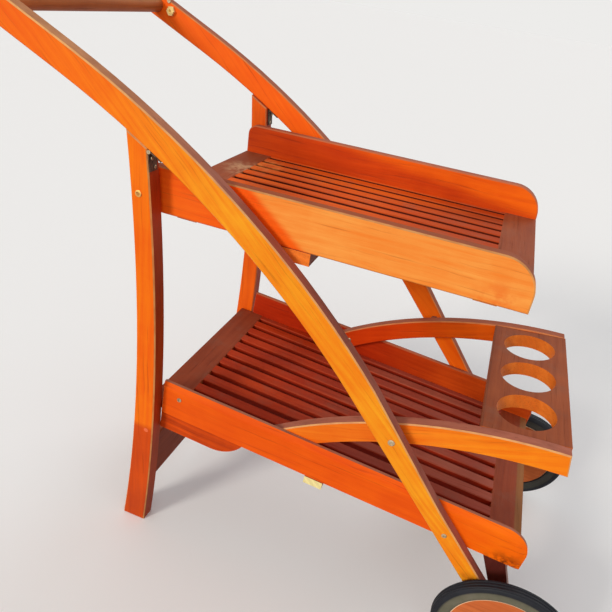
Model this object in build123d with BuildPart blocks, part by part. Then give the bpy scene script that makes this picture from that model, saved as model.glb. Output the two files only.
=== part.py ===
from build123d import *
import os
from math import cos, sin, tan, radians, sqrt

# Two-tier hardwood garden serving trolley: curved side rails with a handle at the top and the
# wheels at the bottom, one pair of curved legs, a slatted tray, a sloping slatted shelf and a
# bottle rack on curved arms.
# +X points to the wheels, +Y away from the side that the sun lights, +Z up. The floor is Z = 0.
# Millimetres throughout.

os.makedirs("parts", exist_ok=True)

# Eased edges of the boards
board_edge = 2.0
slat_edge = 1.5

# Side rails, from the axle up to the handle. Heights called rise are measured from the axle.
rail_outer_y = 225.0
rail_thick = 22.0
rail_depth = 42.0
axle_x = 434.0
rail_lower_angle = 49.5
rail_lower_run = 480.0
rail_bend_radius = 1500.0
rail_upper_angle = 24.5
rail_upper_run = 132.0
rail_overhang = 33.0
rail_foot_depth = 30.0
rail_foot_drop = 3.5
rail_taper_run = 250.0

# Shelf side boards stand against the rails, and the tray and the rack between them
side_board_thick = 11.0

# Handle dowel
handle_radius = 14.0
tenon_radius = 9.0
tenon_depth = 14.0

# Wheels and axle
wheel_radius = 114.0
tyre_width = 21.0
tyre_depth = 27.0
tyre_foot_width = 17.0
disc_width = 16.0
hub_radius = 16.0
hub_width = 30.0
axle_radius = 6.0
axle_running_gap = 0.05
hub_end_gap = 0.5
axle_nut_across = 18.0
axle_nut_height = 8.0
axle_tip = 3.0

# Legs, cut to a slow curve and a little wider at the foot
leg_thick = 29.0
leg_top_x = -290.0
leg_top_width = 35.0
leg_waist_x = -276.0
leg_waist_width = 37.5
leg_waist_height = 400.0
leg_foot_x = -310.0
leg_foot_width = 48.0
stretcher_bottom = 95.0
stretcher_height = 100.0
stretcher_thick = 18.0
stretcher_set_back = 8.0

# Hinges from the leg tops to the rails
hinge_width = 20.0
hinge_leg_leaf = 34.0
hinge_rail_leaf = 23.0
hinge_leaf_thick = 1.6
hinge_leaf_seat = 0.06
hinge_pin_radius = 2.4

# Tray
tray_left_x = -280.0
tray_right_x = 306.0
tray_rise = 625.0
tray_side_thick = 18.0
tray_corner_radius = 50.0
tray_back_corner_radius = 18.0
tray_end_width = 56.0
tray_edge_strip = 5.5
tray_batten_end_gap = 14.0
tray_bolt_x = -270.5
tray_bolt_drop = 37.0
bearer_reach = 54.5
bearer_width = 60.0
bearer_thick = 20.0
bearer_bolt_offset = 6.0

# Decks of the tray and the shelf
board_height = 73.0
deck_drop = 54.0
slat_count = 10
slat_gap = 12.0

# Shelf, which slopes down towards the wheels
shelf_left_x = -233.0
shelf_rise = 239.3
shelf_slope = 4.53
shelf_length = 670.0
shelf_corner_radius = 45.0
shelf_deck_start = -28.0
shelf_deck_end = 665.0
shelf_end_width = 55.0
shelf_edge_strip = 15.0
batten_width = 34.0
batten_thick = 15.0
batten_middle = 308.0
bevel_height = 13.0
bevel_depth = 3.5
corbel_length = 167.0
corbel_straight = 105.0
corbel_depth = 37.0
corbel_set_back = 3.0

# Bottle rack
arm_thick = 21.0
arm_depth = 39.0
arm_foot_along = 199.0
arm_crossing_run = 383.6
arm_bolt_run = 392.0
arm_end_x = 433.5
arm_end_rise = 336.5
arm_end_lean = 7.0
rack_width = 131.5
rack_end_gap = 2.0
rack_thick = 26.0
hole_radius = 46.0
hole_pitch = 107.0

# Round spacers on the bolts
spacer_radius = 9.0

# Axle hangers under the shelf
hanger_thick = 22.0
hanger_top_end_gap = 42.0
hanger_top_width = 38.0
hanger_boss_radius = 14.0

# Worked out from the values above
rail_inner_y = rail_outer_y - rail_thick
leg_inner_y = rail_outer_y - leg_thick
box_half = rail_inner_y - side_board_thick
tray_half = box_half - tray_side_thick
arm_inner_y = box_half - arm_thick
axle_z = wheel_radius
slope = radians(shelf_slope)
tray_top = axle_z + tray_rise
shelf_left_top = axle_z + shelf_rise
slat_thick = board_height - deck_drop
tray_bottom = tray_top - board_height
sides = (("near", -1), ("far", 1))


def rims(board):
    """Edges round the two broad faces of a board that is cut in an upright plane."""
    faces = board.faces().filter_by(Axis.Y).sort_by(SortBy.AREA)[-2:]
    return [edge for face in faces for edge in face.outer_wire().edges()]


def side_plane(y):
    """Upright plane at Y = y: sketch x is X, sketch y is Z, and extruding goes towards -Y."""
    return Plane.XZ.offset(-y)


def shelf_plane(y):
    """Upright plane at Y = y, turned to the shelf's slope; its origin is the left top corner."""
    return Plane(
        origin=(shelf_left_x, y, shelf_left_top),
        x_dir=(cos(slope), 0, -sin(slope)),
        z_dir=(0, -1, 0),
    )


def shelf_point(along, drop):
    """X and Z of a point on the shelf, measured from its left top corner."""
    x = shelf_left_x + along * cos(slope) - drop * sin(slope)
    z = shelf_left_top - along * sin(slope) - drop * cos(slope)
    return x, z


def high_y(sign, inner, thick):
    """The larger Y of a board on one side whose inner face is that far from the middle."""
    return inner + thick if sign > 0 else -inner


def uphill(degrees):
    """Unit vector up and to the left at an angle above the floor."""
    return Vector(-cos(radians(degrees)), sin(radians(degrees)))


def run_plane(y, start, end):
    """Upright plane at Y = y with its x axis along the line from start to end (X and Z)."""
    return Plane(
        origin=(start.X, y, start.Y),
        x_dir=(end.X - start.X, 0, end.Y - start.Y),
        z_dir=(0, -1, 0),
    )


# Centre line of the rail: straight up from the axle, a long bend, straight to the handle
axle_point = Vector(axle_x, axle_z)
bend_start = axle_point + uphill(rail_lower_angle) * rail_lower_run
bend_centre = bend_start - uphill(rail_lower_angle + 90) * rail_bend_radius
bend_middle = bend_centre + uphill((rail_lower_angle + rail_upper_angle) / 2 + 90) * rail_bend_radius
bend_end = bend_centre + uphill(rail_upper_angle + 90) * rail_bend_radius
handle_point = bend_end + uphill(rail_upper_angle) * rail_upper_run
rail_tip = handle_point + uphill(rail_upper_angle) * (rail_overhang - rail_depth / 2)

# Half of the rail's depth, square to its line at the bend's start, middle and end, and at the axle
half_at_start = uphill(rail_lower_angle + 90) * rail_depth / 2
half_at_middle = uphill((rail_lower_angle + rail_upper_angle) / 2 + 90) * rail_depth / 2
half_at_end = uphill(rail_upper_angle + 90) * rail_depth / 2
half_at_foot = uphill(rail_lower_angle + 90) * rail_foot_depth / 2
rail_foot = axle_point - uphill(rail_lower_angle + 90) * rail_foot_drop


def rail_underside(x):
    """X and Z of the rail's underside at x, within its bend."""
    radius = rail_bend_radius - rail_depth / 2
    return x, bend_centre.Y + sqrt(radius**2 - (x - bend_centre.X) ** 2)


# Side rails, each sawn from one plank: slimmer in the lower run, with a round end at the handle
# and at the axle
for side, sign in sides:
    with BuildPart() as rail:
        with BuildSketch(side_plane(high_y(sign, rail_inner_y, rail_thick))):
            with BuildLine():
                Polyline(
                    rail_foot + half_at_foot,
                    rail_foot + half_at_foot + uphill(rail_lower_angle) * rail_taper_run,
                    bend_start + half_at_start,
                )
                ThreePointArc(
                    bend_start + half_at_start,
                    bend_middle + half_at_middle,
                    bend_end + half_at_end,
                )
                Line(bend_end + half_at_end, rail_tip + half_at_end)
                ThreePointArc(
                    rail_tip + half_at_end,
                    rail_tip + uphill(rail_upper_angle) * rail_depth / 2,
                    rail_tip - half_at_end,
                )
                Line(rail_tip - half_at_end, bend_end - half_at_end)
                ThreePointArc(
                    bend_end - half_at_end,
                    bend_middle - half_at_middle,
                    bend_start - half_at_start,
                )
                Line(bend_start - half_at_start, rail_foot - half_at_foot)
                ThreePointArc(
                    rail_foot - half_at_foot,
                    rail_foot - uphill(rail_lower_angle) * rail_foot_depth / 2,
                    rail_foot + half_at_foot,
                )
            make_face()
            with Locations((axle_x, axle_z)):
                Circle(axle_radius, mode=Mode.SUBTRACT)
        extrude(amount=rail_thick)
        chamfer(rims(rail), board_edge)
        with BuildSketch(side_plane(high_y(sign, rail_inner_y, tenon_depth))):
            with Locations((handle_point.X, handle_point.Y)):
                Circle(tenon_radius)
        extrude(amount=tenon_depth, mode=Mode.SUBTRACT)
    rail.part.label = side + "_rail"
    export_step(rail.part, "parts/" + side + "_rail.step")

# Handle: a turned dowel whose thinner tenons sit in blind holes in the rails
with BuildPart() as handle:
    for radius, half_length in ((handle_radius, rail_inner_y), (tenon_radius, rail_inner_y + tenon_depth)):
        with BuildSketch(side_plane(half_length)):
            with Locations((handle_point.X, handle_point.Y)):
                Circle(radius)
        extrude(amount=2 * half_length)
handle.part.label = "handle"
export_step(handle.part, "parts/handle.step")

# Legs, sawn at the top to the underside of the rail
leg_back_top = rail_underside(leg_top_x)
leg_middle_top = rail_underside(leg_top_x + leg_top_width / 2)
leg_front_top = rail_underside(leg_top_x + leg_top_width)
leg_front_waist = (leg_waist_x + leg_waist_width, leg_waist_height)
leg_front_foot = (leg_foot_x + leg_foot_width, 0)
for side, sign in sides:
    with BuildPart() as leg:
        with BuildSketch(side_plane(high_y(sign, leg_inner_y, leg_thick))):
            with BuildLine():
                ThreePointArc(leg_back_top, leg_middle_top, leg_front_top)
                ThreePointArc(leg_front_top, leg_front_waist, leg_front_foot)
                Line(leg_front_foot, (leg_foot_x, 0))
                ThreePointArc((leg_foot_x, 0), (leg_waist_x, leg_waist_height), leg_back_top)
            make_face()
        extrude(amount=leg_thick)
        chamfer(rims(leg), board_edge)
    leg.part.label = side + "_leg"
    export_step(leg.part, "parts/" + side + "_leg.step")

# Stretcher board between the legs
stretcher_x = leg_front_foot[0] - stretcher_set_back
with BuildPart() as stretcher:
    with BuildSketch(side_plane(leg_inner_y)) as stretcher_outline:
        with Locations((stretcher_x, stretcher_bottom + stretcher_height / 2)):
            Rectangle(stretcher_thick, stretcher_height)
        chamfer(stretcher_outline.vertices(), board_edge)
    extrude(amount=2 * leg_inner_y)
stretcher.part.label = "leg_stretcher"
export_step(stretcher.part, "parts/leg_stretcher.step")

# Butt hinges in the corner between leg and rail: one leaf on each, and the knuckle between
hinge_corner = Vector(*leg_front_top)
leg_front_arc = ThreePointArc(leg_front_top, leg_front_waist, leg_front_foot)
leg_leaf_end = leg_front_arc @ (hinge_leg_leaf / leg_front_arc.length)
rail_leaf_end = Vector(*rail_underside(hinge_corner.X + hinge_rail_leaf))
hinge_opening = radians((leg_leaf_end - hinge_corner).get_angle(rail_leaf_end - hinge_corner))
knuckle_place = hinge_pin_radius / tan(hinge_opening / 2)
with BuildPart() as leg_hinges:
    for side, sign in sides:
        hinge_y = high_y(sign, rail_outer_y - (rail_thick + hinge_width) / 2, hinge_width)
        # columns: far end of the leaf, which side of the line it lies on
        for end, outside in ((leg_leaf_end, 1), (rail_leaf_end, -1)):
            length = (end - hinge_corner).length
            leaf_middle = hinge_leaf_seat + hinge_leaf_thick / 2
            with BuildSketch(run_plane(hinge_y, hinge_corner, end)):
                with Locations(((knuckle_place + length) / 2, outside * leaf_middle)):
                    Rectangle(length - knuckle_place, hinge_leaf_thick)
            extrude(amount=hinge_width)
        with BuildSketch(run_plane(hinge_y, hinge_corner, leg_leaf_end)):
            with Locations((knuckle_place, hinge_pin_radius)):
                Circle(hinge_pin_radius - hinge_leaf_seat)
        extrude(amount=hinge_width)
leg_hinges.part.label = "leg_hinges"
export_step(leg_hinges.part, "parts/leg_hinges.step")


def slat_rows(half_width, strip):
    """Y centre and width of each full slat, and of the narrow strip along each side board."""
    pitch = (2 * (half_width - strip) - slat_gap) / slat_count
    rows = [((i - (slat_count - 1) / 2) * pitch, pitch - slat_gap) for i in range(slat_count)]
    return rows + [(sign * (half_width - strip / 2), strip) for sign in (-1, 1)]


# Tray: two side boards with rounded top corners, the larger one at the wheel end
tray_length = tray_right_x - tray_left_x
for side, sign in sides:
    with BuildPart() as board:
        with BuildSketch(side_plane(high_y(sign, tray_half, tray_side_thick))) as outline:
            with Locations((tray_left_x, tray_bottom)):
                Rectangle(tray_length, board_height, align=(Align.MIN, Align.MIN))
            fillet(outline.vertices().sort_by(Axis.X)[-2:].sort_by(Axis.Y)[-1], tray_corner_radius)
            fillet(outline.vertices().sort_by(Axis.X)[:2].sort_by(Axis.Y)[-1], tray_back_corner_radius)
        extrude(amount=tray_side_thick)
        chamfer(rims(board), board_edge)
    board.part.label = side + "_tray_side"
    export_step(board.part, "parts/" + side + "_tray_side.step")

# Flat boards that close the tray's two ends at deck level
tray_slats_left = tray_left_x + tray_end_width
tray_slats_right = tray_right_x - tray_end_width
for name, left in (("tray_handle_end", tray_left_x), ("tray_wheel_end", tray_slats_right)):
    with BuildPart() as end:
        with BuildSketch(side_plane(tray_half)):
            with Locations((left, tray_bottom)):
                Rectangle(tray_end_width, slat_thick, align=(Align.MIN, Align.MIN))
        extrude(amount=2 * tray_half)
    end.part.label = name
    export_step(end.part, "parts/" + name + ".step")

# Tray slats
with BuildPart() as tray_slats:
    with BuildSketch(Plane.YZ.offset(tray_slats_left)) as slat_ends:
        for row_y, row_width in slat_rows(tray_half, tray_edge_strip):
            with Locations((row_y, tray_bottom + slat_thick / 2)):
                Rectangle(row_width, slat_thick)
        chamfer(slat_ends.vertices().group_by(Axis.Y)[-1], slat_edge)
    extrude(amount=tray_slats_right - tray_slats_left)
tray_slats.part.label = "tray_slats"
export_step(tray_slats.part, "parts/tray_slats.step")

# Battens under the joints between the slats and the end boards
with BuildPart() as tray_battens:
    with BuildSketch(side_plane(tray_half - tray_batten_end_gap)):
        for middle in (tray_slats_left, tray_slats_right):
            with Locations((middle, tray_bottom - batten_thick / 2)):
                Rectangle(batten_width, batten_thick)
    extrude(amount=2 * (tray_half - tray_batten_end_gap))
tray_battens.part.label = "tray_battens"
export_step(tray_battens.part, "parts/tray_battens.step")

# Bearer that carries the tray between the rails
bearer_z = tray_bottom - bearer_thick / 2
rail_x_at_bearer = bend_centre.X + sqrt(rail_bend_radius**2 - (bearer_z - bend_centre.Y) ** 2)
with BuildPart() as tray_bearer:
    with BuildSketch(side_plane(box_half)):
        with Locations((rail_x_at_bearer + bearer_reach, bearer_z)):
            Rectangle(bearer_width, bearer_thick, align=(Align.MAX, Align.CENTER))
    extrude(amount=2 * box_half)
tray_bearer.part.label = "tray_bearer"
export_step(tray_bearer.part, "parts/tray_bearer.step")

# Shelf: two side boards with a rounded top corner at the wheel end and a bevel along the bottom
for side, sign in sides:
    with BuildPart() as board:
        with BuildSketch(shelf_plane(high_y(sign, box_half, side_board_thick))) as outline:
            Rectangle(shelf_length, board_height, align=(Align.MIN, Align.MAX))
            fillet(outline.vertices().sort_by(Axis.X)[-2:].sort_by(Axis.Y)[-1], shelf_corner_radius)
        extrude(amount=side_board_thick)
        outer_face = board.faces().sort_by(Axis.Y)[-1 if sign > 0 else 0]
        lower_edge = outer_face.edges().sort_by(Axis.Z)[0]
        chamfer(lower_edge, bevel_height, bevel_depth, reference=outer_face)
        chamfer(rims(board), board_edge)
    board.part.label = side + "_shelf_side"
    export_step(board.part, "parts/" + side + "_shelf_side.step")

# Corbels under the shelf sides, next to the legs
corbel_bottom = -board_height - corbel_depth
for side, sign in sides:
    thick = side_board_thick - corbel_set_back
    with BuildPart() as corbel:
        with BuildSketch(shelf_plane(high_y(sign, box_half, thick))):
            with BuildLine():
                Polyline(
                    (corbel_length, -board_height),
                    (0, -board_height),
                    (0, corbel_bottom),
                    (corbel_straight, corbel_bottom),
                )
                TangentArc((corbel_straight, corbel_bottom), (corbel_length, -board_height), tangent=(1, 0))
            make_face()
        extrude(amount=thick)
    corbel.part.label = side + "_corbel"
    export_step(corbel.part, "parts/" + side + "_corbel.step")

# Flat boards across the shelf's two ends at deck level
shelf_slats_left = shelf_deck_start + shelf_end_width
shelf_slats_right = shelf_deck_end - shelf_end_width
for name, left in (("shelf_handle_end", shelf_deck_start), ("shelf_wheel_end", shelf_slats_right)):
    with BuildPart() as end:
        with BuildSketch(shelf_plane(box_half)):
            with Locations((left, -deck_drop)):
                Rectangle(shelf_end_width, slat_thick, align=(Align.MIN, Align.MAX))
        extrude(amount=2 * box_half)
    end.part.label = name
    export_step(end.part, "parts/" + name + ".step")

# Shelf slats
slats_x, slats_z = shelf_point(shelf_slats_left, deck_drop + slat_thick / 2)
across_shelf = Plane(
    origin=(slats_x, 0, slats_z),
    x_dir=(0, 1, 0),
    z_dir=(cos(slope), 0, -sin(slope)),
)
with BuildPart() as shelf_slats:
    with BuildSketch(across_shelf) as slat_ends:
        for row_y, row_width in slat_rows(box_half, shelf_edge_strip):
            with Locations((row_y, 0)):
                Rectangle(row_width, slat_thick)
        chamfer(slat_ends.vertices().group_by(Axis.Y)[-1], slat_edge)
    extrude(amount=shelf_slats_right - shelf_slats_left)
shelf_slats.part.label = "shelf_slats"
export_step(shelf_slats.part, "parts/shelf_slats.step")

# Battens that carry the shelf; only the middle one runs out to the faces of the side boards
shelf_battens_table = (
    # middle along the shelf, half length
    (shelf_slats_left, box_half),
    (batten_middle, rail_inner_y),
    (shelf_slats_right, box_half - hanger_thick),
)
with BuildPart() as shelf_battens:
    for middle, half_length in shelf_battens_table:
        with BuildSketch(shelf_plane(half_length)):
            with Locations((middle, -board_height)):
                Rectangle(batten_width, batten_thick, align=(Align.CENTER, Align.MAX))
        extrude(amount=2 * half_length)
shelf_battens.part.label = "shelf_battens"
export_step(shelf_battens.part, "parts/shelf_battens.step")


# Centre line of a rack arm: from its foot on the deck, across the rail's line, to its end
arm_foot = Vector(*shelf_point(arm_foot_along, deck_drop))
arm_crossing = axle_point + uphill(rail_lower_angle) * arm_crossing_run
arm_bolt = axle_point + uphill(rail_lower_angle) * arm_bolt_run
arm_end = Vector(arm_end_x, axle_z + arm_end_rise)
arm_line = ThreePointArc(arm_foot, arm_crossing, arm_end)


def arm_point(x, outwards):
    """X and Z of a point of the rack arm at x, that far outwards from its centre line."""
    radius = arm_line.radius + outwards
    return x, arm_line.arc_center.Y + sqrt(radius**2 - (x - arm_line.arc_center.X) ** 2)


# Arms of the bottle rack: curved like the rails, with their feet cut to the shelf's deck
arm_start_x = arm_foot.X - arm_depth
arm_high_end = arm_point(arm_end_x - arm_end_lean / 2, arm_depth / 2)
arm_low_end = arm_point(arm_end_x + arm_end_lean / 2, -arm_depth / 2)
arm_cut_depth = 3 * board_height
for side, sign in sides:
    arm_y = high_y(sign, arm_inner_y, arm_thick)
    with BuildPart() as arm:
        with BuildSketch(side_plane(arm_y)):
            with BuildLine():
                ThreePointArc(
                    arm_point(arm_start_x, arm_depth / 2),
                    arm_point(arm_crossing.X, arm_depth / 2),
                    arm_high_end,
                )
                Line(arm_high_end, arm_low_end)
                ThreePointArc(
                    arm_low_end,
                    arm_point(arm_crossing.X, -arm_depth / 2),
                    arm_point(arm_start_x, -arm_depth / 2),
                )
                Line(arm_point(arm_start_x, -arm_depth / 2), arm_point(arm_start_x, arm_depth / 2))
            make_face()
        extrude(amount=arm_thick)
        with BuildSketch(shelf_plane(arm_y)):
            with Locations((0, -deck_drop)):
                Rectangle(shelf_length, arm_cut_depth, align=(Align.MIN, Align.MAX))
        extrude(amount=arm_thick, mode=Mode.SUBTRACT)
        chamfer(rims(arm), board_edge)
    arm.part.label = side + "_rack_arm"
    export_step(arm.part, "parts/" + side + "_rack_arm.step")

# Rack board between the arms, flush with their upper edges, with a hole for each bottle
rack_right_x = arm_end_x - rack_end_gap
rack_left = Vector(*arm_point(rack_right_x - rack_width, arm_depth / 2))
rack_right = Vector(*arm_point(rack_right_x, arm_depth / 2))
rack_run = rack_right - rack_left
rack_middle = (rack_left + rack_right) / 2
rack_top_plane = Plane(
    origin=(rack_middle.X, 0, rack_middle.Y),
    x_dir=(0, 1, 0),
    z_dir=(-rack_run.Y, 0, rack_run.X),
)
with BuildPart() as rack_board:
    with BuildSketch(rack_top_plane):
        Rectangle(2 * arm_inner_y, rack_run.length)
        with GridLocations(hole_pitch, 0, 3, 1):
            Circle(hole_radius, mode=Mode.SUBTRACT)
    extrude(amount=-rack_thick)
rack_board.part.label = "rack_board"
export_step(rack_board.part, "parts/rack_board.step")

# Round spacers on the bolts: rail to arm, rail to bearer, leg to tray
# columns: name, X, Z, Y of the inner face, Y of the outer face
spacers = (
    ("arm_spacers", arm_bolt.X, arm_bolt.Y, box_half, rail_inner_y),
    ("bearer_spacers", rail_x_at_bearer + bearer_bolt_offset, bearer_z, box_half, rail_inner_y),
    ("tray_spacers", tray_bolt_x, tray_top - tray_bolt_drop, box_half, leg_inner_y),
)
for name, bolt_x, bolt_z, inner, outer in spacers:
    with BuildPart() as spacer:
        for side, sign in sides:
            with BuildSketch(side_plane(high_y(sign, inner, outer - inner))):
                with Locations((bolt_x, bolt_z)):
                    Circle(spacer_radius)
            extrude(amount=outer - inner)
    spacer.part.label = name
    export_step(spacer.part, "parts/" + name + ".step")

# Axle hangers: from the shelf's wheel end down to the axle
hanger_top = shelf_length - hanger_top_end_gap
for side, sign in sides:
    hanger_y = high_y(sign, box_half - hanger_thick, hanger_thick)
    with BuildPart() as hanger:
        with BuildSketch(side_plane(hanger_y)):
            with BuildLine():
                Line(
                    shelf_point(hanger_top - hanger_top_width / 2, board_height),
                    shelf_point(hanger_top + hanger_top_width / 2, board_height),
                )
                CenterArc((axle_x, axle_z), hanger_boss_radius, 0, 360)
            make_hull()
            with Locations((axle_x, axle_z)):
                Circle(axle_radius, mode=Mode.SUBTRACT)
        extrude(amount=hanger_thick)
    hanger.part.label = side + "_axle_hanger"
    export_step(hanger.part, "parts/" + side + "_axle_hanger.step")

# Axle, with the nuts at its ends that keep the wheels on
wheel_mid_y = rail_outer_y + hub_end_gap + hub_width / 2
nut_inner_y = wheel_mid_y + hub_width / 2 + hub_end_gap
axle_half = nut_inner_y + axle_nut_height + axle_tip
with BuildPart() as axle:
    with BuildSketch(side_plane(axle_half)):
        with Locations((axle_x, axle_z)):
            Circle(axle_radius)
    extrude(amount=2 * axle_half)
axle.part.label = "axle"
export_step(axle.part, "parts/axle.step")

with BuildPart() as axle_nuts:
    for side, sign in sides:
        with BuildSketch(side_plane(high_y(sign, nut_inner_y, axle_nut_height))):
            with Locations((axle_x, axle_z)):
                RegularPolygon(axle_nut_across / 2, 6, major_radius=False)
                Circle(axle_radius, mode=Mode.SUBTRACT)
        extrude(amount=axle_nut_height)
axle_nuts.part.label = "axle_nuts"
export_step(axle_nuts.part, "parts/axle_nuts.step")

# Wheels: a rubber tyre on a wooden disc, with a bush that turns on the axle
axle_line = Axis((axle_x, 0, axle_z), (0, 1, 0))
disc_radius = wheel_radius - tyre_depth
for side, sign in sides:
    # sketch x runs along the axle, sketch y outwards from it
    wheel_plane = Plane(
        origin=(axle_x, sign * wheel_mid_y, axle_z),
        x_dir=(0, 1, 0),
        z_dir=(1, 0, 0),
    )
    with BuildPart() as tyre:
        with BuildSketch(wheel_plane):
            with BuildLine():
                Polyline(
                    (tyre_foot_width / 2, disc_radius),
                    (tyre_width / 2, wheel_radius),
                    (-tyre_width / 2, wheel_radius),
                    (-tyre_foot_width / 2, disc_radius),
                    close=True,
                )
            make_face()
        revolve(axis=axle_line)
    tyre.part.label = side + "_tyre"
    export_step(tyre.part, "parts/" + side + "_tyre.step")

    with BuildPart() as disc:
        with BuildSketch(wheel_plane):
            with Locations((0, (disc_radius + hub_radius) / 2)):
                Rectangle(disc_width, disc_radius - hub_radius)
        revolve(axis=axle_line)
    disc.part.label = side + "_wheel_disc"
    export_step(disc.part, "parts/" + side + "_wheel_disc.step")

    with BuildPart() as hub:
        bore_radius = axle_radius + axle_running_gap
        with BuildSketch(wheel_plane):
            with Locations((0, (hub_radius + bore_radius) / 2)):
                Rectangle(hub_width, hub_radius - bore_radius)
        revolve(axis=axle_line)
    hub.part.label = side + "_wheel_hub"
    export_step(hub.part, "parts/" + side + "_wheel_hub.step")
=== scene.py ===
from math import cos, pi, radians, sin

import bmesh
import bpy
from mathutils import Matrix, Vector


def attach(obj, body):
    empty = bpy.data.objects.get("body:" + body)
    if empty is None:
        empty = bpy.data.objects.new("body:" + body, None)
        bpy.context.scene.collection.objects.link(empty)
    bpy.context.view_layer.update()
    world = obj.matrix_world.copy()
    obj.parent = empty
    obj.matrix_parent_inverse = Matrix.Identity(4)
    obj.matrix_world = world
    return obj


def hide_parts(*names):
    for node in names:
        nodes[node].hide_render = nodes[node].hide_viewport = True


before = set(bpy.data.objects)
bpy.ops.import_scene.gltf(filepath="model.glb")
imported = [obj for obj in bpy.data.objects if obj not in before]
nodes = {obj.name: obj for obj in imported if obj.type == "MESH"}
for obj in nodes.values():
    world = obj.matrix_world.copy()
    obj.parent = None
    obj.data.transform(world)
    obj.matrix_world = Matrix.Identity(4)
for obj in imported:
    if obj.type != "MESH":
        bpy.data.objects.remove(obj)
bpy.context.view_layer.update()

# Two-tier garden serving trolley in oiled hardwood: two long curved side rails with a handle at
# the top and the wheels at the bottom, one pair of legs, a tray, a sloping shelf and a rack for
# three bottles. +X points to the wheels, -Y to the side that the sun lights, and +Z up.

# Viewpoint: the camera stands where the photograph was taken from, a metre up and a little under
# a metre in front of the trolley, looking down at it and slightly tilted.
camera_place = Vector((0.2138, -0.9284, 1.0091))
camera_azimuth, camera_elevation, camera_roll = radians(15.97), radians(29.17), radians(8.9)
forward = Vector((
    -sin(camera_azimuth) * cos(camera_elevation),
    cos(camera_azimuth) * cos(camera_elevation),
    -sin(camera_elevation),
))
level = Vector((cos(camera_azimuth), sin(camera_azimuth), 0))
upright = level.cross(forward)
camera_x = cos(camera_roll) * level + sin(camera_roll) * upright
camera_y = cos(camera_roll) * upright - sin(camera_roll) * level
lens = bpy.data.cameras.new("camera")
lens.sensor_fit = "HORIZONTAL"
lens.sensor_width, lens.lens = 36, 34.05
lens.clip_start = 0.02
camera = bpy.data.objects.new("camera", lens)
turned_to_trolley = Matrix((camera_x, camera_y, -forward)).transposed().to_4x4()
camera.matrix_world = Matrix.Translation(camera_place) @ turned_to_trolley
bpy.context.scene.collection.objects.link(camera)
bpy.context.scene.camera = camera
bpy.context.scene.view_settings.view_transform = "Standard"


# Studio: a soft low key from the front left, as the sun stood, a wide fill from the front, a
# weak light from behind, and a pale floor and surround that look alike, so that no horizon shows.
def srgb(red, green, blue):
    """A colour as it is seen on a screen, 0 to 255, as the shader's linear colour."""
    def linear(value):
        value /= 255
        return value / 12.92 if value <= 0.04045 else ((value + 0.055) / 1.055) ** 2.4
    return linear(red), linear(green), linear(blue), 1.0


def sun(name, towards, strength, spread, colour):
    """A distant lamp in one direction, whose light is softened over an angle in degrees."""
    light = bpy.data.lights.new(name, "SUN")
    light.energy, light.angle, light.color = strength, radians(spread), colour
    thing = bpy.data.objects.new(name, light)
    thing.matrix_world = Vector(towards).to_track_quat("Z", "Y").to_matrix().to_4x4()
    bpy.context.scene.collection.objects.link(thing)


sun("key", (-0.45, -0.81, 0.39), strength=1.75, spread=14, colour=(1.0, 0.94, 0.84))
sun("fill", (0.10, -0.93, 0.34), strength=0.55, spread=60, colour=(1.0, 0.96, 0.90))
sun("back", (0.35, 0.75, 0.56), strength=0.6, spread=30, colour=(0.92, 0.96, 1.0))


class Wire:
    """An output of one of a tree's nodes, so that a finish or a shape reads as sums."""

    def __init__(self, tree, socket=None):
        self.tree, self.socket = tree, socket

    def node(self, kind, settings, sockets, output=0):
        """Adds a node: its settings first, then its sockets' values or wires."""
        made = self.tree.nodes.new(kind)
        for key, value in settings.items():
            setattr(made, key, value)
        for key, value in sockets.items():
            if isinstance(value, Wire):
                self.tree.links.new(value.socket, made.inputs[key])
            else:
                made.inputs[key].default_value = value
        return Wire(self.tree, made.outputs[output])

    def math(self, operation, *others):
        return self.node("ShaderNodeMath", {"operation": operation}, dict(enumerate((self,) + others)))

    def __add__(self, other):
        return self.math("ADD", other)

    def __sub__(self, other):
        return self.math("SUBTRACT", other)

    def __rsub__(self, other):
        return self.node("ShaderNodeMath", {"operation": "SUBTRACT"}, {0: other, 1: self})

    def __mul__(self, other):
        return self.math("MULTIPLY", other)

    __radd__ = __add__

    def step(self, low, high):
        """0 below low, 1 above high, smooth between."""
        return self.node(
            "ShaderNodeMapRange", {"interpolation_type": "SMOOTHSTEP"}, {0: self, 1: low, 2: high}
        )

    def dot(self, direction):
        return self.node("ShaderNodeVectorMath", {"operation": "DOT_PRODUCT"}, {0: self, 1: direction}, 1)

    def blend(self, low, high):
        """The colour low where this value is 0 and high where it is 1."""
        return self.node("ShaderNodeMix", {"data_type": "RGBA"}, {0: self, 6: low, 7: high}, 2)

    def vector(self, x, y, z):
        return self.node("ShaderNodeCombineXYZ", {}, {0: x, 1: y, 2: z})

    def noise(self, scale, detail=2.0, rough=0.5):
        """Soft noise from 0 to 1 at this place."""
        return self.node(
            "ShaderNodeTexNoise", {}, {"Vector": self, "Scale": scale, "Detail": detail, "Roughness": rough}
        )

    def into(self, target, name):
        self.tree.links.new(self.socket, target.inputs[name])

    def relief(self, shader, strength, depth):
        """Shows this height as a fine relief in a surface, of a depth in metres."""
        sockets = {"Height": self, "Strength": strength, "Distance": depth}
        self.node("ShaderNodeBump", {}, sockets).into(shader, "Normal")


def finish_of(name, members=()):
    """A new material, given to some CAD nodes: the material, its shader node and a first wire."""
    material = bpy.data.materials.new(name)
    material.use_nodes = True
    for node in members:
        nodes[node].data.materials.clear()
        nodes[node].data.materials.append(material)
    return material, material.node_tree.nodes["Principled BSDF"], Wire(material.node_tree)


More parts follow.
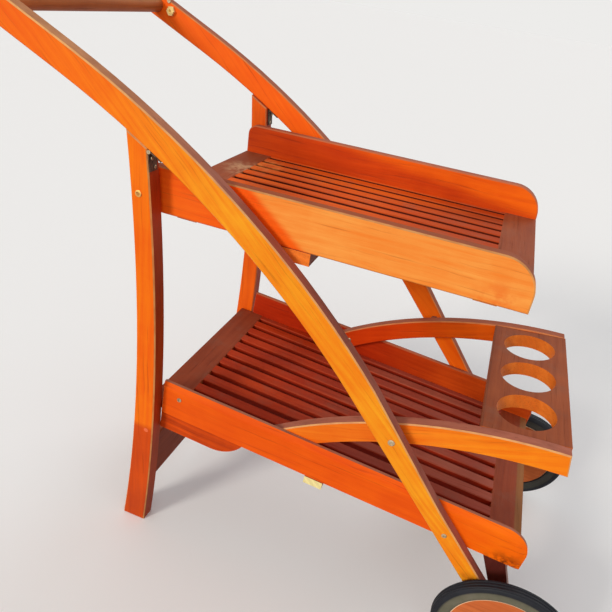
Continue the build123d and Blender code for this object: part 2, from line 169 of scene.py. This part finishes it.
def is_seen(wire):
    """1 for rays that only look, straight, in a mirror or through glass, and 0 for light."""
    path = wire.tree.nodes.new("ShaderNodeLightPath")
    kinds = ("Is Camera Ray", "Is Glossy Ray", "Is Transmission Ray")
    seen, mirrored, through = (Wire(wire.tree, path.outputs[kind]) for kind in kinds)
    return seen.math("MAXIMUM", mirrored).math("MAXIMUM", through)


floor_half = 40.0
floor_corners = [(x * floor_half, y * floor_half, 0) for x, y in ((-1, -1), (1, -1), (1, 1), (-1, 1))]
floor_mesh = bpy.data.meshes.new("floor")
floor_mesh.from_pydata(floor_corners, [], [(0, 1, 2, 3)])
floor = bpy.data.objects.new("floor", floor_mesh)
bpy.context.scene.collection.objects.link(floor)
material, shader, wire = finish_of("pale_floor")
floor_mesh.materials.append(material)
is_seen(wire).blend(srgb(150, 146, 142), srgb(247, 248, 250)).into(shader, "Base Color")
shader.inputs["Roughness"].default_value = 0.9
shader.inputs["Specular IOR Level"].default_value = 0.1

world = bpy.data.worlds.new("surround")
bpy.context.scene.world = world
world.use_nodes = True
surround = world.node_tree.nodes["Background"]
is_seen(Wire(world.node_tree)).blend(srgb(192, 190, 188), srgb(237, 236, 234)).into(surround, "Color")


# Side rails: two boards 22 mm thick, sawn from planks to a long curve, planed, with eased edges,
# and oiled. Their upper edges are a dull pinkish brown, partly weathered and partly painted shade
# and a painted sheen of the sky. The near one's foot beside the tyre is painted dark, the shade
# that the tyre casts on it.
grain_x, grain_y, grain_z = Vector((1, 0, 0)), Vector((0, 1, 0)), Vector((0, 0, 1))
ring_pitch, pith_across, pith_deep = 0.011, 0.10, 0.15
wood_shine, wood_relief, relief_depth = 0.16, 0.35, 0.0006
# pale colour of the eased edges: a painted highlight where they catch the light
cream_edge_highlight = srgb(255, 198, 124)
# upper faces: weathered, and painted darker and pinker as shade and a sheen of the sky
weathered_shaded_top = (srgb(190, 108, 76), srgb(140, 66, 42))
weathered_grey, sawn_brown = srgb(128, 92, 74), srgb(96, 40, 16)


def tone(figure, colours, change):
    """The streaks' colours, pale and deep, which may turn into a second pair along the piece."""
    first = figure.blend(colours[1], colours[0])
    return change.blend(first, figure.blend(colours[3], colours[2])) if len(colours) > 2 else first


def pores_of(colour):
    """The colour of the dark pores in wood of one colour."""
    return tuple(value * 0.3 for value in colour[:3]) + (1.0,)


def drawn_out(run, side, depth, lengthwise, crosswise):
    """A place in the wood in units that are long along the grain and short across it."""
    return run.vector(run * lengthwise, side * crosswise, depth * crosswise)


def wood(name, members, along, across, fresh, top=weathered_shaded_top, rim=(cream_edge_highlight, 0.6), ends=None,
         painted_cheek=None, change=(grain_x, 0.0, 1.0), pitch=None, spot_mark=None, seed=0.0):
    """Oiled hardwood whose grain runs along one direction and whose rings rise across it.

    fresh and top are the streaks' colours, pale and deep, on the sides and on the upper faces,
    which are weathered and also painted darker and pinker as shade and a sheen of the sky; cheek
    those of the faces towards +X, which the key light doesn't reach: a painted shade, and on the
    hangers a paler painted light. rim is the colour painted on the eased edges, mostly a pale
    painted highlight, and how strong it is, ends that of the end grain. change is a direction
    and where along it the second pair of colours takes over, and may name the only faces that it
    changes; on some pieces it paints where a shadow falls. pitch is the spacing of slats in Y,
    each of which is a board of its own. stain is a patch of another colour, worn and stained
    patches, and at the near rail's foot a painted shade: its middle, its radius, its colour and
    its strength.
    """
    material, shader, wire = finish_of(name, members)
    place = wire.node("ShaderNodeTexCoord", {}, {}, "Object")
    facing = wire.node("ShaderNodeTexCoord", {}, {}, "Normal")
    run, side = place.dot(along) + seed, place.dot(across) + seed
    depth = place.dot(along.cross(across)) + seed
    if pitch:
        board = (place.dot(grain_y) * (1 / pitch)).math("FLOOR")
        chance = wire.node("ShaderNodeTexWhiteNoise", {"noise_dimensions": "1D"}, {"W": board + seed}, "Value")
        run, side = run + chance * 9.0, side + chance * 3.0
    wander = drawn_out(run, side, depth, 2.0, 6.0).noise(1.0, 2.0) - 0.5
    wave = side + (drawn_out(run, side, depth, 5.0, 14.0).noise(1.0, 2.0) - 0.5) * 0.022
    # growth rings round a pith that lies outside the board
    ring_x, ring_z = side - seed + pith_across + wander * 0.07, depth - seed + pith_deep
    radius = (ring_x * ring_x + ring_z * ring_z).math("SQRT")
    rings = (radius * (2 * pi / ring_pitch)).math("SINE") * 0.5 + 0.5
    # lines along the grain, from broad to fine, and patches that don't follow it
    streaks = drawn_out(run, wave, depth, 4.0, 105.0).noise(1.0, 4.0, 0.7).step(0.3, 0.7)
    fibres = drawn_out(run, side, depth, 14.0, 460.0).noise(1.0, 2.0, 0.6)
    pores = drawn_out(run, wave, depth, 7.0, 250.0).noise(1.0, 3.0, 0.6).step(0.58, 0.74)
    flecks = drawn_out(run, side, depth, 30.0, 420.0).noise(1.0, 1.0).step(0.6, 0.8)
    clouds = place.noise(6.0, 3.0).step(0.3, 0.75)
    blotches = place.noise(14.0, 4.0, 0.6).step(0.3, 0.7)
    figure = streaks * 0.34 + rings * 0.12 + fibres * 0.28 + blotches * 0.26
    shift = place.dot(change[0]).step(change[1], change[2])
    if len(change) > 3:
        shift = shift * facing.dot(change[3]).step(0.3, 0.6)
    sides = tone(figure, fresh, shift)
    # faces towards +X take the cheek colours: painted shade on the legs, a paler painted light on the hangers
    if painted_cheek:
        sides = facing.dot(grain_x).step(0.5, 0.8).blend(sides, figure.blend(painted_cheek[1], painted_cheek[0]))
    sides = (clouds * 0.35 + flecks * 0.15).blend(sides, fresh[1])
    if pitch:
        sides = (chance * 0.35).blend(sides, fresh[1])
    sides = (pores * 0.4).blend(sides, pores_of(fresh[1]))
    # upper faces: weathered, and painted darker and pinker as shade and a sheen of the sky
    tops = tone(figure * 0.75 + clouds * 0.25, top, shift)
    if pitch:
        tops = (chance * 0.5).blend(tops, top[1])
    weathered = place.noise(20.0, 4.0, 0.6).step(0.48, 0.75)
    tops = (weathered * 0.3).blend(tops, weathered_grey)
    tops = (pores * 0.42).blend(tops, pores_of(top[1]))
    up = facing.dot(grain_z).step(0.25, 0.6)
    colour = up.blend(sides, tops)
    # sawn ends, with the open pores as dots
    butt = facing.dot(along).math("ABSOLUTE").step(0.84, 0.94)
    butt_dots = drawn_out(run, side, depth, 40.0, 700.0).noise(1.0, 2.0).step(0.45, 0.7)
    dot_share, butt_share = (0.15, 0.95) if ends else (0.4, 0.55)
    butt_colour = (butt_dots * dot_share + rings * 0.15).blend(ends or fresh[1], sawn_brown)
    colour = (butt * butt_share).blend(colour, butt_colour)
    # eased edges, which face half sideways and not down, take the rim colour: mostly a painted highlight where
    # they catch the light
    slope = facing.dot(grain_y).math("ABSOLUTE")
    edge_highlight = slope.step(0.45, 0.6) * (1.0 - slope.step(0.8, 0.92)) * facing.dot(grain_z).step(-0.5, -0.1)
    edge_highlight = edge_highlight * (place.noise(40.0, 2.0).step(0.3, 0.7) * 0.4 + 0.6) * rim[1]
    colour = edge_highlight.blend(colour, rim[0])
    # a patch of another colour: worn and stained patches, and at the near rail's foot a painted shade
    if spot_mark:
        away = wire.node("ShaderNodeVectorMath", {"operation": "DISTANCE"}, {0: place, 1: spot_mark[0]}, 1)
        patches = place.noise(75.0, 4.0, 0.6).step(0.34, 0.64)
        worn = (1.0 - away.step(spot_mark[1] * 0.2, spot_mark[1])) * patches
        colour = (worn * spot_mark[3]).blend(colour, spot_mark[2])
    colour.into(shader, "Base Color")
    (0.42 + fibres * 0.18 + up * 0.14 + pores * 0.1).into(shader, "Roughness")
    height = fibres * 0.5 + streaks * 0.5 - pores * 0.8
    height.relief(shader, wood_relief, relief_depth)
    shader.inputs["Specular IOR Level"].default_value = wood_shine
    return material


rail_slope = radians(44)
rail_along = Vector((-cos(rail_slope), 0, sin(rail_slope)))
rail_across = Vector((sin(rail_slope), 0, cos(rail_slope)))
# the near rail's foot is painted dark: the shade that the tyre casts on it
wood(
    "near_rail_wood", ["near_rail"], rail_along, rail_across,
    (srgb(255, 186, 38), srgb(238, 108, 6), srgb(255, 128, 12), srgb(238, 82, 0)),
    top=(srgb(196, 116, 96), srgb(142, 72, 58), srgb(220, 158, 110), srgb(172, 106, 66)),
    change=(-grain_x, 0.05, 0.42),
    spot_mark=(Vector((0.364, -0.225, 0.172)), 0.042, srgb(96, 44, 20), 0.9), seed=0.3,
)
wood(
    "far_rail_wood", ["far_rail"], rail_along, rail_across,
    (srgb(255, 122, 14), srgb(232, 84, 2), srgb(255, 116, 12), srgb(240, 84, 2)),
    change=(-grain_x, 0.0, 0.3), rim=(srgb(250, 170, 100), 0.5), seed=1.7,
)

# Legs: two boards 29 mm thick with a slow curve, sawn at the top to the rails' underside and
# hinged there. A board is let in between them as a stretcher.
# the legs' +X faces, painted in shade
leg_shaded_cheek = (srgb(186, 74, 34), srgb(138, 42, 14))
# the near leg is painted darker below about 0.25 m: a painted shadow
wood(
    "near_leg_wood", ["near_leg"], grain_z, grain_x,
    (srgb(255, 136, 10), srgb(234, 84, 2), srgb(216, 82, 12), srgb(170, 50, 6)),
    painted_cheek=leg_shaded_cheek, change=(-grain_z, -0.262, -0.246), seed=2.2,
)
wood(
    "far_leg_wood", ["far_leg"], grain_z, grain_x, (srgb(252, 112, 14), srgb(220, 78, 4)),
    rim=(srgb(246, 160, 96), 0.5), painted_cheek=leg_shaded_cheek, seed=3.1,
)
wood("stretcher_wood", ["leg_stretcher"], grain_y, grain_z, (srgb(176, 76, 34), srgb(130, 48, 18)), seed=4.4)

# Handle: a turned dowel between the rails, polished brown by hands.
wood(
    "handle_wood", ["handle"], grain_y, grain_z, (srgb(206, 122, 66), srgb(156, 80, 38)),
    top=(srgb(212, 140, 80), srgb(164, 94, 48)), seed=5.2,
)

# Tray: two deep side boards with rounded corners, a flat board across each end, and ten slats
# between them with narrow strips along the sides, all on battens and one bearer. The near side
# board's outer face is painted deep red on the handle side of an oblique line beyond the rail:
# the rail's painted shadow.
wood(
    "near_tray_side_wood", ["near_tray_side"], grain_x, grain_z,
    (srgb(255, 180, 88), srgb(242, 122, 32), srgb(255, 110, 14), srgb(236, 72, 0)),
    top=(srgb(176, 90, 48), srgb(128, 56, 26)), rim=(cream_edge_highlight, 0.45),
    change=(Vector((-0.621, 0, -0.783)), -0.520, -0.507, -grain_y),
    spot_mark=(Vector((0.262, -0.192, 0.672)), 0.045, srgb(236, 104, 30), 0.5), seed=6.0,
)
# the far side board is painted deep red as in shade, and on its inner face a strip along the top that widens
# towards the wheels is painted paler as sunlit: painted shadow and light
wood(
    "far_tray_side_wood", ["far_tray_side"], grain_x, grain_z,
    (srgb(220, 78, 6), srgb(182, 50, 0), srgb(250, 112, 8), srgb(228, 84, 0)),
    change=(Vector((0.125, 0, 0.992)), 0.7100, 0.7360, -grain_y),
    rim=(srgb(230, 130, 80), 0.4), seed=7.5,
)
slat_rim = (srgb(170, 70, 38), 0.5)
wood(
    "tray_end_wood", ["tray_handle_end", "tray_wheel_end"], grain_y, grain_x,
    (srgb(214, 110, 46), srgb(160, 66, 26)), top=(srgb(170, 88, 50), srgb(124, 54, 28)),
    spot_mark=(Vector((-0.226, 0.06, 0.685)), 0.06, srgb(232, 196, 150), 0.5), seed=8.1,
)
# the slats' tops are painted brighter orange towards the handle end, as lit there: painted light
wood(
    "tray_slat_wood", ["tray_slats"], grain_x, grain_y, (srgb(110, 34, 10), srgb(70, 16, 4)),
    top=(srgb(255, 116, 18), srgb(200, 66, 4), srgb(194, 76, 14), srgb(132, 40, 4)),
    change=(grain_x, 0.02, 0.24), rim=slat_rim, pitch=0.0325,
    spot_mark=(Vector((-0.212, 0.11, 0.687)), 0.06, srgb(248, 158, 84), 0.4), seed=9.0,
)
wood(
    "tray_under_wood", ["tray_battens", "tray_bearer"], grain_y, grain_x,
    (srgb(150, 76, 44), srgb(112, 48, 24)), ends=srgb(255, 136, 48), seed=10.2,
)

# Shelf: side boards 11 mm thick with a bevel along the bottom, flat end boards, slats and three
# battens, of which the middle one runs out to the sides and shows its raw sawn ends. A corbel
# is glued under each side next to the leg.
shelf_slope = radians(4.53)
shelf_along = Vector((cos(shelf_slope), 0, -sin(shelf_slope)))
shelf_up = Vector((sin(shelf_slope), 0, cos(shelf_slope)))
wood(
    "corbel_wood", ["near_corbel", "far_corbel"], shelf_along, shelf_up,
    (srgb(250, 92, 8), srgb(140, 34, 0)), seed=30.9,
)
wood(
    "near_shelf_side_wood", ["near_shelf_side"], shelf_along, shelf_up,
    (srgb(250, 106, 8), srgb(222, 72, 2), srgb(255, 124, 6), srgb(242, 92, 0)),
    top=(srgb(190, 124, 98), srgb(146, 84, 62)), change=(grain_x, 0.2, 0.36),
    spot_mark=(Vector((0.404, -0.203, 0.219)), 0.046, srgb(66, 22, 6), 1.0), seed=11.0,
)
wood(
    "far_shelf_side_wood", ["far_shelf_side"], shelf_along, shelf_up,
    (srgb(196, 52, 6), srgb(152, 28, 0), srgb(214, 84, 16), srgb(170, 54, 4)),
    change=(grain_x, 0.0, 0.3), rim=(srgb(190, 92, 44), 0.4), seed=12.3,
)
wood(
    "shelf_end_wood", ["shelf_handle_end", "shelf_wheel_end"], grain_y, shelf_along,
    (srgb(190, 92, 42), srgb(140, 56, 22)),
    top=(srgb(166, 78, 46), srgb(122, 48, 24), srgb(168, 112, 62), srgb(130, 78, 38)),
    change=(grain_x, 0.411, 0.415), seed=13.4,
)
# the slats' tops turn from red at the handle end to pinkish brown towards the wheels: partly weathering,
# partly a painted sheen of the sky where the tray doesn't cover them
wood(
    "shelf_slat_wood", ["shelf_slats"], shelf_along, grain_y, (srgb(176, 50, 16), srgb(130, 26, 6)),
    top=(srgb(214, 74, 20), srgb(156, 36, 6), srgb(190, 106, 84), srgb(142, 66, 50)),
    change=(grain_x, -0.06, 0.16), rim=slat_rim, pitch=0.0342, seed=14.0,
)
wood(
    "shelf_batten_wood", ["shelf_battens"], grain_y, shelf_along, (srgb(190, 90, 40), srgb(150, 60, 25)),
    ends=srgb(255, 240, 170), seed=15.7,
)

# Axle hangers: two short boards from the shelf's wheel end down to the axle, painted dark as the shade under
# the shelf, with their +X faces painted paler as lit.
wood(
    "hanger_wood", ["near_axle_hanger", "far_axle_hanger"], grain_z, grain_x,
    (srgb(104, 46, 38), srgb(66, 22, 20)), painted_cheek=(srgb(160, 120, 108), srgb(118, 82, 74)), seed=16.1,
)

# Bottle rack: two curved arms 21 mm thick that stand on the shelf and are bolted to the rails,
# and a board between them with three round holes.
arm_slope = radians(19.4)
arm_along = Vector((cos(arm_slope), 0, sin(arm_slope)))
arm_across = Vector((-sin(arm_slope), 0, cos(arm_slope)))
wood(
    "near_arm_wood", ["near_rack_arm"], arm_along, arm_across,
    (srgb(255, 146, 36), srgb(228, 92, 8), srgb(255, 154, 26), srgb(240, 106, 4)),
    top=(srgb(196, 120, 96), srgb(150, 78, 58)), change=(grain_x, 0.15, 0.36), seed=17.2,
)
wood(
    "far_arm_wood", ["far_rack_arm"], arm_along, arm_across,
    (srgb(226, 72, 4), srgb(190, 48, 0), srgb(244, 112, 6), srgb(212, 82, 2)),
    change=(grain_x, 0.05, 0.36), rim=(srgb(250, 160, 90), 0.5), seed=18.6,
)
wood(
    "rack_board_wood", ["rack_board"], grain_y, grain_x,
    (srgb(244, 146, 56), srgb(206, 100, 28), srgb(150, 80, 46), srgb(112, 50, 26)),
    top=(srgb(174, 92, 52), srgb(126, 56, 30), srgb(150, 80, 46), srgb(112, 50, 26)),
    rim=(srgb(240, 150, 80), 0.0), change=(-grain_x, -0.3040, -0.3030), seed=19.9,
)


# Hinges at the leg tops, spacers on the bolts and the axle set: plated steel that has stained
# and rusted out of doors.
def metal(name, members, bright, stain_colour, rough):
    """Plated metal, bright and smooth, with dull stains: rough is the bright part's roughness."""
    material, shader, wire = finish_of(name, members)
    place = wire.node("ShaderNodeTexCoord", {}, {}, "Object")
    spot_mark = place.noise(160.0, 3.0, 0.6).step(0.38, 0.72)
    scuff = place.noise(900.0, 2.0)
    (spot_mark * 0.75).blend(bright, stain_colour).into(shader, "Base Color")
    (rough + spot_mark * 0.3 + scuff * 0.1).into(shader, "Roughness")
    (0.95 - spot_mark * 0.45).into(shader, "Metallic")
    height = spot_mark + scuff * 0.3
    height.relief(shader, 0.25, 0.0002)
    return material


metal("hinge_steel", ["leg_hinges"], srgb(104, 86, 72), srgb(64, 34, 22), 0.5)
metal(
    "spacer_steel", ["arm_spacers", "bearer_spacers", "tray_spacers"],
    srgb(150, 140, 128), srgb(84, 60, 44), 0.4,
)
metal(
    "axle_steel", ["axle", "axle_nuts", "near_wheel_hub", "far_wheel_hub"],
    srgb(186, 182, 174), srgb(110, 88, 68), 0.35,
)

# Bolts and screws: round plated heads with a hexagon socket, drawn in flush on the outsides of
# the rails, legs and shelf. Hinge pins and screws, a six-sided nut under each end of the handle
# and a wooden plug low on each leg are made the same way.
head_tree = bpy.data.node_groups.new("socket_head", "GeometryNodeTree")
head_tree.interface.new_socket("Places", in_out="INPUT", socket_type="NodeSocketGeometry")
head_tree.interface.new_socket("Sides", in_out="INPUT", socket_type="NodeSocketInt")
for size_name in ("Radius", "Height", "Socket"):
    head_tree.interface.new_socket(size_name, in_out="INPUT", socket_type="NodeSocketFloat")
head_tree.interface.new_socket("Finish", in_out="INPUT", socket_type="NodeSocketMaterial")
head_tree.interface.new_socket("Heads", in_out="OUTPUT", socket_type="NodeSocketGeometry")
given = head_tree.nodes.new("NodeGroupInput")
wire = Wire(head_tree)
places, sides, radius, height, socket, finish = (Wire(head_tree, given.outputs[i]) for i in range(6))
# a barrel whose top face is raised and drawn in to a crown, with a hexagon cut into it
barrel = head_tree.nodes.new("GeometryNodeMeshCylinder")
sides.into(barrel, "Vertices")
radius.into(barrel, "Radius")
height.into(barrel, "Depth")
crown = head_tree.nodes.new("GeometryNodeExtrudeMesh")
head_tree.links.new(barrel.outputs["Mesh"], crown.inputs["Mesh"])
head_tree.links.new(barrel.outputs["Top"], crown.inputs["Selection"])
(height * 0.3).into(crown, "Offset Scale")
raised, top_face = (Wire(head_tree, crown.outputs[name]) for name in ("Mesh", "Top"))
eased = wire.node("GeometryNodeScaleElements", {}, {"Geometry": raised, "Selection": top_face, "Scale": 0.84})
hexagon = wire.node("GeometryNodeMeshCylinder", {}, {"Vertices": 6, "Radius": socket, "Depth": height})
above = wire.vector(0.0, 0.0, height * 0.6)
hexagon = wire.node("GeometryNodeTransform", {}, {"Geometry": hexagon, "Translation": above})
head = wire.node("GeometryNodeMeshBoolean", {"operation": "DIFFERENCE"}, {"Mesh 1": eased, "Mesh 2": hexagon})
on_surface = wire.vector(0.0, 0.0, height * 0.5)
head = wire.node("GeometryNodeTransform", {}, {"Geometry": head, "Translation": on_surface})
outwards = wire.node("GeometryNodeInputNamedAttribute", {"data_type": "FLOAT_VECTOR"}, {"Name": "outwards"})
turn = wire.node("FunctionNodeAlignRotationToVector", {"axis": "Z"}, {"Vector": outwards})
heads = wire.node("GeometryNodeInstanceOnPoints", {}, {"Points": places, "Instance": head, "Rotation": turn})
heads = wire.node("GeometryNodeRealizeInstances", {}, {"Geometry": heads})
heads = wire.node("GeometryNodeSetMaterial", {}, {"Geometry": heads, "Material": finish})
heads.into(head_tree.nodes.new("NodeGroupOutput"), "Heads")


def soft_edges(mesh, degrees):
    """Shades a mesh smooth except over edges sharper than an angle."""
    mesh.shade_smooth()
    mesh.set_sharp_from_angle(angle=radians(degrees))


def fix_heads(name, table, radius, height, socket, material, sides=28):
    """One head for each place and outward direction in the table, riding on the frame."""
    mesh = bpy.data.meshes.new(name)
    mesh.from_pydata([place for place, direction in table], [], [])
    facing = mesh.attributes.new("outwards", "FLOAT_VECTOR", "POINT")
    for item, (place, direction) in zip(facing.data, table):
        item.vector = direction
    thing = bpy.data.objects.new(name, mesh)
    bpy.context.scene.collection.objects.link(thing)
    modifier = thing.modifiers.new("heads", "NODES")
    modifier.node_group = head_tree
    values = {"Sides": sides, "Radius": radius, "Height": height, "Socket": socket, "Finish": material}
    for item in head_tree.interface.items_tree:
        if item.name in values:
            modifier[item.identifier] = values[item.name]
    plain = bpy.data.meshes.new_from_object(thing.evaluated_get(bpy.context.evaluated_depsgraph_get()))
    thing.modifiers.clear()
    thing.data = plain
    soft_edges(plain, 30)
    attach(thing, "frame")


def both_sides(rows, way=1):
    """The same places on the near and the far side, for rows of X, outer Y and Z.

    They face outwards, or inwards where way is -1.
    """
    return [((x, sign * y, z), (0, sign * way, 0)) for x, y, z in rows for sign in (-1, 1)]


outer_face, rail_inner_face, arm_inner_face, hinge_end = 0.225, 0.203, 0.171, 0.2238
head_steel = metal("head_steel", [], srgb(206, 190, 160), srgb(112, 76, 44), 0.34)
dull_brass = metal("dull_brass", [], srgb(236, 182, 104), srgb(120, 70, 34), 0.36)
brass = metal("brass", [], srgb(250, 222, 150), srgb(150, 108, 56), 0.3)
fix_heads(
    "bolt_heads", both_sides(((0.1810, outer_face, 0.4122),)),
    radius=0.0055, height=0.0014, socket=0.0028, material=head_steel,
)
fix_heads(
    "leg_bolt_heads", both_sides(((-0.2688, outer_face, 0.702),)),
    radius=0.0053, height=0.0012, socket=0.0030, material=dull_brass,
)
fix_heads(
    "screw_heads", both_sides(((0.3003, outer_face, 0.2660), (-0.2010, rail_inner_face, 0.3240))),
    radius=0.0042, height=0.0011, socket=0.0020, material=head_steel,
)
fix_heads(
    "inner_screw_heads",
    both_sides(((-0.4888, rail_inner_face, 0.9340), (0.0120, arm_inner_face, 0.3200)), way=-1),
    radius=0.0038, height=0.0012, socket=0.0018, material=head_steel,
)
fix_heads(
    "hinge_pin_heads", both_sides(((-0.2521, hinge_end, 0.7671),)),
    radius=0.0031, height=0.0012, socket=0.0008, material=head_steel, sides=20,
)
hinge_screws = ((0.2185, 0.7575), (0.2105, 0.7435))
fix_heads(
    "hinge_screw_heads", [((-0.2504, sign * y, z), (1, 0, 0)) for y, z in hinge_screws for sign in (-1, 1)],
    radius=0.0026, height=0.0009, socket=0.0012, material=head_steel, sides=20,
)
fix_heads(
    "handle_nuts", both_sides(((-0.4825, rail_inner_face, 0.9170),), way=-1),
    radius=0.0096, height=0.0050, socket=0.0032, material=brass, sides=6,
)
plug_wood = wood(
    "plug_wood", [], grain_x, grain_z, (srgb(250, 130, 84), srgb(222, 92, 48)),
    rim=(cream_edge_highlight, 0.0), seed=21.3,
)
fix_heads(
    "leg_plugs", both_sides(((-0.2558, outer_face, 0.2463),)),
    radius=0.0045, height=0.0003, socket=0.0004, material=plug_wood, sides=24,
)


# Wheels: an oiled wooden disc with a rounded rim, pressed into a solid rubber tyre that has fine
# ridges round its tread and a worn grey wall, more so on the side that the sun reaches.
axle_x, axle_z, wheel_y = 0.434, 0.114, 0.2405
ring_steps = 120


def turned(name, profile, middle_y, body, material, replaced):
    """A closed ring turned round the axle from a profile of offsets along it and radii."""
    mesh = bpy.data.meshes.new(name)
    shape = bmesh.new()
    rings = []
    for step in range(ring_steps):
        angle = 2 * pi * step / ring_steps
        rings.append([
            shape.verts.new((axle_x + radius * cos(angle), middle_y + offset, axle_z + radius * sin(angle)))
            for offset, radius in profile
        ])
    for step in range(ring_steps):
        here, after = rings[step], rings[(step + 1) % ring_steps]
        for point in range(len(profile)):
            shape.faces.new((here[point], here[point - 1], after[point - 1], after[point]))
    bmesh.ops.recalc_face_normals(shape, faces=shape.faces)
    shape.to_mesh(mesh)
    shape.free()
    mesh.materials.append(material)
    soft_edges(mesh, 32)
    thing = bpy.data.objects.new(name, mesh)
    bpy.context.scene.collection.objects.link(thing)
    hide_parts(replaced)
    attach(thing, body)


def mirrored_profile(half):
    """A ring's whole profile from its half on one side of the wheel's middle."""
    return half + [(-offset, radius) for offset, radius in reversed(half)]


ridge_pitch, ridge_foot, ridge_top = 0.0054, 0.0021, 0.0013
groove_radius, ridge_radius = 0.1126, 0.1139
tread = []
for ridge in (-ridge_pitch, 0.0, ridge_pitch):
    tread += [(ridge - ridge_foot, groove_radius), (ridge - ridge_top, ridge_radius)]
    tread += [(ridge + ridge_top, ridge_radius), (ridge + ridge_foot, groove_radius)]
# one side of the tyre from the tread down to the disc, as offsets from the middle and radii
wall = [
    (0.0095, 0.1112), (0.0104, 0.1086), (0.0105, 0.1050), (0.0099, 0.1040), (0.0098, 0.0950),
    (0.0103, 0.0940), (0.0102, 0.0905), (0.0092, 0.0880), (0.0084, 0.0870),
]
tyre_profile = (
    [(-offset, radius) for offset, radius in reversed(wall)]
    + [(-0.0086, 0.1124)] + tread + [(0.0086, 0.1124)] + wall
)
disc_profile = mirrored_profile(
    [(0.0050, 0.0870), (0.0066, 0.0862), (0.0077, 0.0848), (0.0080, 0.0832), (0.0080, 0.0160)]
)

rubber, shader, wire = finish_of("tyre_rubber")
place = wire.node("ShaderNodeTexCoord", {}, {}, "Object")
facing = wire.node("ShaderNodeTexCoord", {}, {}, "Normal")
across, height = place.dot(grain_x) - axle_x, place.dot(grain_z) - axle_z
reach = (across * across + height * height).math("SQRT")
flank = facing.dot(grain_y).math("ABSOLUTE").step(0.4, 0.8)
sheltered = place.dot(grain_y).step(-0.1, 0.1)
worn_ring = reach.step(0.0868, 0.0890) * (1.0 - reach.step(0.1010, 0.1060))
worn_band = flank * worn_ring * (1.0 - sheltered * 0.7)
dust = place.noise(45.0, 4.0, 0.65).step(0.35, 0.75)
grit = place.noise(700.0, 2.0)
black = (dust * 0.5).blend(srgb(12, 15, 24), srgb(44, 46, 54))
olive = (dust * 0.6).blend(srgb(92, 90, 74), srgb(118, 112, 98))
worn_band.blend(black, olive).into(shader, "Base Color")
(0.5 + dust * 0.25 + grit * 0.1).into(shader, "Roughness")
(grit + dust).relief(shader, 0.25, 0.0003)
shader.inputs["Specular IOR Level"].default_value = 0.3

# the disc's rounded rim is painted pale: a painted highlight
disc_wood = wood(
    "disc_wood", [], grain_x, grain_z, (srgb(222, 122, 66), srgb(178, 84, 40)),
    rim=(srgb(255, 222, 184), 1.0), seed=20.5,
)
for side, middle_y in (("near", -wheel_y), ("far", wheel_y)):
    wheel = side + "_wheel"
    turned(side + "_ribbed_tyre", tyre_profile, middle_y, wheel, rubber, side + "_tyre")
    turned(side + "_rounded_disc", disc_profile, middle_y, wheel, disc_wood, wheel + "_disc")
